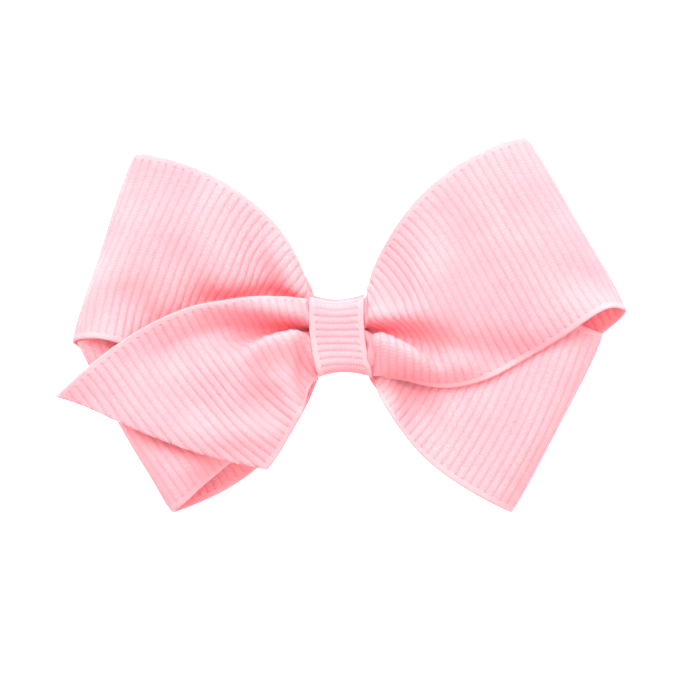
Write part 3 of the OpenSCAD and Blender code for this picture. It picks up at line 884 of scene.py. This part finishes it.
def make_grip_pad():
    """Anti-slip strip with cross ridges and a rounded rim."""
    rows, columns = 150, 25
    rim_rounding, ridge_fade = 0.25, 0.5
    top_rim, under_rim = 0.4, 0.3
    low, high = corners_of("grip_pad")
    middle, half = (high + low) / 2, (high - low) / 2
    x = np.linspace(-half[0], half[0], rows)
    y = half[1] * np.sin(np.linspace(-1, 1, columns) * math.pi / 2)
    across, along = np.meshgrid(y, x)
    rim = np.minimum(half[0] - np.abs(along), half[1] - np.abs(across))
    edge = np.sqrt(np.clip(1 - (1 - np.clip(rim / rim_rounding, 0, 1)) ** 2, 0, 1))
    wave = 0.5 - 0.5 * np.cos(2 * math.pi * along / PAD_RIDGE)
    ridge = PAD_RIDGE_HEIGHT * wave * smooth(rim / ridge_fade)
    rise = half[2] * (top_rim + (1 - top_rim) * edge)
    drop = half[2] * (under_rim + (1 - under_rim) * edge) - ridge
    top = np.stack([along, across, rise], axis=-1) + middle
    under = np.stack([along, across, -drop], axis=-1) + middle
    piece = thick_sheet("grip_pad_strip", top, under, along, across)
    return finish_piece(piece, "bow", "grip_pad", grip_rubber("anti-slip rubber"))


def round_body(name, rows):
    """A closed body from a grid of points whose first and last columns are its poles."""
    piece = add_mesh(name, rows.reshape(-1, 3), grid_faces(*rows.shape[:2], closed=True))
    weld(piece, SMALL_WELD)
    return piece


def glue_blob(middle, half, phase):
    """Points of a squashed dab with a wavy rim."""
    turns, levels = 48, 17
    wide_wave, narrow_wave, inset = 0.05, 0.04, 0.07
    side_fullness, top_fullness = 0.6, 0.8
    turn = np.linspace(0, 2 * math.pi, turns, endpoint=False)[:, None]
    rise = np.linspace(-math.pi / 2, math.pi / 2, levels)[None, :]
    rim = 1 - inset + wide_wave * np.sin(3 * turn + phase) + narrow_wave * np.sin(5 * turn + 2 * phase)
    reach = rim * np.abs(np.cos(rise)) ** side_fullness
    level = np.sign(np.sin(rise)) * np.abs(np.sin(rise)) ** top_fullness + np.zeros_like(turn)
    return middle + half * np.stack([reach * np.cos(turn), reach * np.sin(turn), level], axis=-1)


def make_glue():
    """The dabs that hold the ribbon to the lined clip, and the one inside the wrap's lap."""
    material = hot_glue("hot glue")
    low, high = corners_of("bow_glue")
    half = np.array([DAB_HALF, (high[1] - low[1]) / 2, (high[2] - low[2]) / 2])
    for side in (-1, 1):
        middle = np.array([high[0] - DAB_HALF if side > 0 else low[0] + DAB_HALF, *(high + low)[1:] / 2])
        piece = round_body("bow_glue_dab_" + ("right" if side > 0 else "left"), glue_blob(middle, half, side))
        finish_piece(piece, "bow", "bow_glue", material)
    low, high = corners_of("wrap_glue")
    piece = round_body("wrap_glue_dab", glue_blob((high + low) / 2, (high - low) / 2, 2.0))
    finish_piece(piece, "bow", "wrap_glue", material)


def tube_grid(path, radius, sides):
    """Points of a tube along a path, its ends rounded over a few points."""
    end_points = 4
    any_side = (0.3, 0.2, 0.9)
    way = np.gradient(path, axis=0)
    way /= np.linalg.norm(way, axis=1, keepdims=True)
    side = np.zeros_like(path)
    previous = np.cross(way[0], any_side)
    for i, here in enumerate(way):
        previous = previous - here * (previous @ here)
        previous /= np.linalg.norm(previous)
        side[i] = previous
    up = np.cross(way, side)
    ends = np.minimum(np.arange(len(path)), np.arange(len(path))[::-1])
    thick = radius * np.sqrt(np.clip(1 - (1 - np.clip(ends / end_points, 0, 1)) ** 2, 0, 1))
    turn = np.linspace(0, 2 * math.pi, sides, endpoint=False)[:, None, None]
    return path + thick[:, None] * (np.cos(turn) * side + np.sin(turn) * up)


def make_waist_thread():
    """Thread wound round the gathered waist: two plies twisted on each other, turn beside turn."""
    points_a_turn, rounding, twist = 160, 1.0, 1.3
    low, high = corners_of("waist_thread")
    half = (high[1] - low[1]) / 2 - THREAD_RADIUS
    bottom, top = low[2] + THREAD_RADIUS, high[2] - THREAD_RADIUS
    loop, length = rounded_loop(half, bottom, top, rounding, WAIST_MIDDLE, points_a_turn + 1)
    ring = np.tile(loop[:-1], (THREAD_TURNS, 1))
    x = np.linspace(low[0] + THREAD_RADIUS, high[0] - THREAD_RADIUS, len(ring))
    path = np.column_stack([x, ring])
    out = np.column_stack([np.zeros(len(ring)), line_normals(ring)])
    twisted = np.arange(len(ring)) * length / points_a_turn / THREAD_RADIUS * twist
    material = thread_yarn("white thread")
    for ply in (0, 1):
        angle = (twisted + ply * math.pi)[:, None]
        strand = path + THREAD_RADIUS / 2 * (np.cos(angle) * out + np.sin(angle) * (1, 0, 0))
        piece = round_body("waist_thread_ply_" + str(ply + 1), tube_grid(strand, THREAD_RADIUS / 2, sides=8))
        finish_piece(piece, "bow", "waist_thread", material)


def make_clip_spring(material):
    """Double-leg coil spring round the hinge pin; its legs reach out to press on the top arm and the jaw."""
    coil_points, leg_points, leg_start = 240, 30, 0.3
    low, high = corners_of("clip_spring")
    middle = np.array([HINGE_X, (low[1] + high[1]) / 2, HINGE_Z])
    spread = (high[1] - low[1]) / 2 - WIRE
    turn = np.radians(np.linspace(90, 90 + 360 * COIL_TURNS, coil_points))
    share = np.linspace(-1, 1, coil_points)
    coil = np.column_stack([COIL * np.cos(turn), spread * share, COIL * np.sin(turn)]) + middle
    reach = np.linspace(high[0] - HINGE_X - WIRE, leg_start, leg_points)
    rise = (ARM_HIGH[2] - CLIP_SHEET - LEG_GAP - WIRE - HINGE_Z - COIL) * reach / reach[0]
    drop = (HINGE_Z - COIL - WIRE - LEG_GAP - CLIP_SHEET) * reach / reach[0]
    level = np.full_like(reach, spread)
    upper = np.column_stack([reach, -level, COIL + rise]) + middle
    lower = (np.column_stack([reach, level, -COIL - drop]) + middle)[::-1]
    piece = round_body("clip_spring_wire", tube_grid(np.concatenate([upper, coil, lower]), WIRE, sides=14))
    finish_piece(piece, None, "clip_spring", material)
    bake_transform(piece)


# ---------------- materials

class Look:
    """Builds one material's node tree."""

    def __init__(self, name):
        self.material = bpy.data.materials.new(name)
        self.material.use_nodes = True
        self.tree = self.material.node_tree
        self.shader = self.tree.nodes["Principled BSDF"]

    def plug(self, socket, value):
        """Links a socket to a node's output, or sets its value."""
        if isinstance(value, bpy.types.NodeSocket):
            self.tree.links.new(value, socket)
        elif value is not None:
            socket.default_value = value

    def add(self, kind, inputs=None, **settings):
        """A node with its settings and inputs."""
        node = self.tree.nodes.new(kind)
        for name, value in settings.items():
            setattr(node, name, value)
        for name, value in (inputs or {}).items():
            self.plug(node.inputs[name], value)
        return node

    def math(self, operation, a, b=None, c=None):
        """One step of arithmetic."""
        node = self.add("ShaderNodeMath", operation=operation)
        for socket, value in zip(node.inputs, (a, b, c)):
            self.plug(socket, value)
        return node.outputs[0]

    def mix(self, share, a, b):
        """Colour between a and b."""
        node = self.add("ShaderNodeMix", data_type="RGBA")
        for socket, value in ((node.inputs[0], share), (node.inputs[6], a), (node.inputs[7], b)):
            self.plug(socket, value)
        return node.outputs[2]

    def place(self):
        """Place on the object, in metres."""
        return self.add("ShaderNodeTexCoord").outputs["Object"]

    def drawn_out(self, vector, share):
        """A place whose X counts only for a share, so that a texture is drawn out along X."""
        return self.add("ShaderNodeMapping", {"Vector": vector, "Scale": (share, 1.0, 1.0)}).outputs[0]

    def noise(self, scale, detail=2.0, vector=None):
        """Cloudy texture."""
        inputs = {"Scale": scale, "Detail": detail, "Vector": vector}
        return self.add("ShaderNodeTexNoise", inputs).outputs["Fac"]

    def ramp(self, value, low, high):
        """0 at low, 1 at high, even between them."""
        inputs = {"Value": value, "From Min": low, "From Max": high}
        return self.add("ShaderNodeMapRange", inputs).outputs["Result"]

    def bump(self, height, distance, strength):
        """Small relief of the surface."""
        bump = self.add("ShaderNodeBump", {"Height": height, "Distance": distance, "Strength": strength})
        self.plug(self.shader.inputs["Normal"], bump.outputs["Normal"])

    def set(self, **values):
        """Inputs of the shader, with _ for each space in their names."""
        for name, value in values.items():
            self.plug(self.shader.inputs[name.replace("_", " ")], value)


PINK = (0.98, 0.355, 0.405, 1)
# deeper pink: the fibres' own darker tone, and the colour that the painted shade in the grooves and between
# the warp threads darkens towards
PINK_DEEP = (0.97, 0.2, 0.28, 1)
PINK_PALE = (0.98, 0.425, 0.465, 1)
WARP_PITCH = 0.31  # from one warp thread to the next


def grosgrain(name, width, pitch):
    """Ribbed ribbon: warp threads that cross the ribs, painted shade in the grooves and between the warp
    threads, woven border with its row of picks.
    """
    look = Look(name)
    flat = look.add("ShaderNodeAttribute", attribute_name="flat").outputs["Vector"]
    parts = look.add("ShaderNodeSeparateXYZ", {"Vector": flat})
    along, across = parts.outputs["X"], parts.outputs["Y"]
    rib_number = look.math("FLOOR", look.math("DIVIDE", along, pitch))
    phase = look.math("FRACT", look.math("DIVIDE", along, pitch))
    off_crown = look.math("ABSOLUTE", look.math("MULTIPLY_ADD", phase, 2.0, -1.0))
    groove = look.math("POWER", off_crown, 3.5)
    shift = look.math("MULTIPLY", rib_number, math.pi)
    warp_turn = look.math("MULTIPLY_ADD", across, 2 * math.pi / WARP_PITCH, shift)
    warp = look.math("MULTIPLY_ADD", look.math("SINE", warp_turn), 0.5, 0.5)
    inside = look.math("SUBTRACT", width / 2, look.math("ABSOLUTE", across))
    on_ribs = look.ramp(inside, SELVEDGE - 0.12, SELVEDGE + 0.08)
    off_border = look.math("ABSOLUTE", look.math("SUBTRACT", inside, SELVEDGE + 0.02))
    picks = look.math("MULTIPLY", look.ramp(off_border, 0.14, 0.05), look.ramp(off_crown, 0.62, 0.86))
    fibre = look.noise(9.0, 3.0, look.drawn_out(flat, 0.35))
    drift = look.noise(0.16, 2.0, flat)
    # painted shade: the colour darkens between the warp threads and in the rib grooves, where shade falls;
    # the picks of the woven border are added to it
    painted_thread_shade = look.math("MULTIPLY", look.math("SUBTRACT", 1.0, warp), 0.3)
    painted_shade_and_picks = look.math("MULTIPLY_ADD", groove, 0.38, painted_thread_shade)
    painted_shade_and_picks = look.math("MULTIPLY", painted_shade_and_picks, on_ribs)
    painted_shade_and_picks = look.math("MAXIMUM", painted_shade_and_picks, look.math("MULTIPLY", picks, 0.3))
    colour = look.mix(look.ramp(drift, 0.3, 0.7), PINK, PINK_PALE)
    colour = look.mix(look.math("MULTIPLY", look.ramp(fibre, 0.3, 0.7), 0.12), colour, PINK_DEEP)
    # the painted shade of grooves and thread gaps, with the picks, darkens the colour towards PINK_DEEP
    colour = look.mix(look.math("MULTIPLY", painted_shade_and_picks, 0.7), colour, PINK_DEEP)
    height = look.math("SUBTRACT", look.math("MULTIPLY", warp, 0.35), look.math("MULTIPLY", groove, 0.8))
    height = look.math("MULTIPLY_ADD", fibre, 0.25, look.math("MULTIPLY", height, on_ribs))
    height = look.math("SUBTRACT", height, look.math("MULTIPLY", picks, 0.9))
    look.set(Base_Color=colour, Roughness=0.62, Sheen_Weight=0.1, Sheen_Roughness=0.4, Sheen_Tint=PINK_PALE)
    look.set(Specular_IOR_Level=0.2, Subsurface_Weight=0.5, Subsurface_Scale=0.6 * MM)
    look.set(Subsurface_Radius=(1.0, 0.22, 0.25))
    look.bump(height, 0.07 * MM, 0.9)
    return look.material


def plated_steel(name, colour, roughness):
    """Nickel-plated sheet: fine rolling lines, soft stains and worn patches."""
    look = Look(name)
    place = look.place()
    lines = look.noise(900.0, 4.0, look.drawn_out(place, 0.06))
    stains = look.noise(160.0, 3.0, place)
    worn = look.ramp(look.noise(420.0, 5.0, place), 0.56, 0.68)
    stained = tuple(0.86 * part for part in colour[:3]) + (1,)
    bare = (0.55, 0.53, 0.5, 1)
    tone = look.mix(look.ramp(stains, 0.35, 0.7), colour, stained)
    tone = look.mix(look.math("MULTIPLY", worn, 0.25), tone, bare)
    look.set(Base_Color=tone, Metallic=1.0, Roughness=look.math("MULTIPLY_ADD", lines, 0.18, roughness))
    look.bump(look.math("MULTIPLY_ADD", lines, 0.5, look.math("MULTIPLY", worn, 0.5)), 0.006 * MM, 0.6)
    return look.material


def hot_glue(name):
    """Cloudy hot-melt glue with soft ripples."""
    look = Look(name)
    place = look.place()
    cloud = look.noise(700.0, 3.0, place)
    look.set(Base_Color=look.mix(cloud, (0.9, 0.87, 0.78, 1), (0.96, 0.94, 0.9, 1)), Roughness=0.32)
    look.set(Subsurface_Weight=0.4, Subsurface_Scale=0.4 * MM)
    look.bump(cloud, 0.05 * MM, 0.5)
    return look.material


def grip_rubber(name):
    """Matt anti-slip strip with a fine pebble."""
    look = Look(name)
    place = look.place()
    pebble = look.add("ShaderNodeTexVoronoi", {"Vector": place, "Scale": 2600.0}).outputs["Distance"]
    look.set(Base_Color=look.mix(look.noise(300.0, 2.0, place), (0.78, 0.78, 0.77, 1), (0.86, 0.86, 0.85, 1)))
    look.set(Roughness=0.75, Subsurface_Weight=0.15, Subsurface_Scale=0.2 * MM)
    look.bump(pebble, 0.05 * MM, 0.7)
    return look.material


def thread_yarn(name):
    """Two-ply polyester thread with fine fibres."""
    look = Look(name)
    place = look.place()
    fibre = look.ramp(look.noise(2400.0, 3.0, place), 0.35, 0.65)
    look.set(Base_Color=look.mix(fibre, (0.7, 0.62, 0.62, 1), (0.93, 0.9, 0.89, 1)), Roughness=0.6)
    look.set(Sheen_Weight=0.3)
    look.bump(fibre, 0.02 * MM, 0.8)
    return look.material


def studio_white(name):
    """Pale table top with a faint glow, which keeps shadows on it soft."""
    look = Look(name)
    grain = look.noise(40.0, 2.0)
    look.set(Base_Color=look.mix(grain, (0.93, 0.93, 0.93, 1), (0.95, 0.95, 0.95, 1)), Roughness=0.9)
    look.set(Specular_IOR_Level=0.1, Emission_Color=(1, 1, 1, 1), Emission_Strength=0.55)
    return look.material


# ---------------- the scene

def make_stage():
    """The table under the bow."""
    bpy.ops.mesh.primitive_plane_add(size=6, location=(0, 0, 0))
    floor = bpy.context.object
    floor.name = "floor"
    floor.data.materials.append(studio_white("studio white"))


WARM_WHITE = (1.0, 0.99, 0.93)
KNOT = (0, 0, 0.01)


def area_light(name, place, size, power):
    """A square soft light aimed at the knot."""
    light = bpy.data.objects.new(name, bpy.data.lights.new(name, "AREA"))
    bpy.context.collection.objects.link(light)
    light.location = place
    light.data.size = size
    light.data.energy = power
    light.data.color = WARM_WHITE
    light.rotation_euler = (Vector(KNOT) - light.location).to_track_quat("-Z", "Y").to_euler()


def make_lights():
    """An even white surround, a large key light from above the bow's top edge and a weak fill."""
    world = bpy.data.worlds.new("studio")
    bpy.context.scene.world = world
    world.use_nodes = True
    world.node_tree.nodes["Background"].inputs["Color"].default_value = (1, 1, 1, 1)
    world.node_tree.nodes["Background"].inputs["Strength"].default_value = 0.7
    area_light("key", place=(-0.05, 0.4, 0.46), size=0.5, power=6.1)
    area_light("fill", place=(0.15, -0.1, 0.6), size=0.4, power=1.25)
    bpy.context.scene.view_settings.view_transform = "Standard"
    bpy.context.scene.view_settings.look = "None"


def make_camera():
    """Straight down on the bow's face, a frame of 77 mm at the knot's height."""
    camera = bpy.data.objects.new("camera", bpy.data.cameras.new("camera"))
    bpy.context.collection.objects.link(camera)
    bpy.context.scene.camera = camera
    height, level, wide = 450.0, 12.0, 77.07
    camera.location = Vector((-0.17, -0.51, height)) * MM
    camera.data.lens = camera.data.sensor_width * (height - level) / wide
    camera.data.clip_start = 0.01


def dress_cad_node(node, material):
    """Gives a CAD mesh its material."""
    data = frame["nodes"][node].data
    data.materials.clear()
    data.materials.append(material)


make_stage()
make_lights()
make_camera()
make_bow_ribbon()
narrow = grosgrain("narrow pink grosgrain", WRAP_WIDTH, NARROW_PITCH)
make_centre_wrap(narrow)
make_clip_lining(narrow)
make_grip_pad()
make_glue()
make_waist_thread()
make_clip_spring(plated_steel("spring steel", (0.62, 0.61, 0.59, 1), 0.3))
steel = plated_steel("nickel plate", (0.78, 0.77, 0.74, 1), 0.22)
dress_cad_node("clip_top_arm", steel)
dress_cad_node("clip_lower_jaw", steel)
dress_cad_node("clip_hinge_pin", plated_steel("pin steel", (0.7, 0.69, 0.66, 1), 0.18))
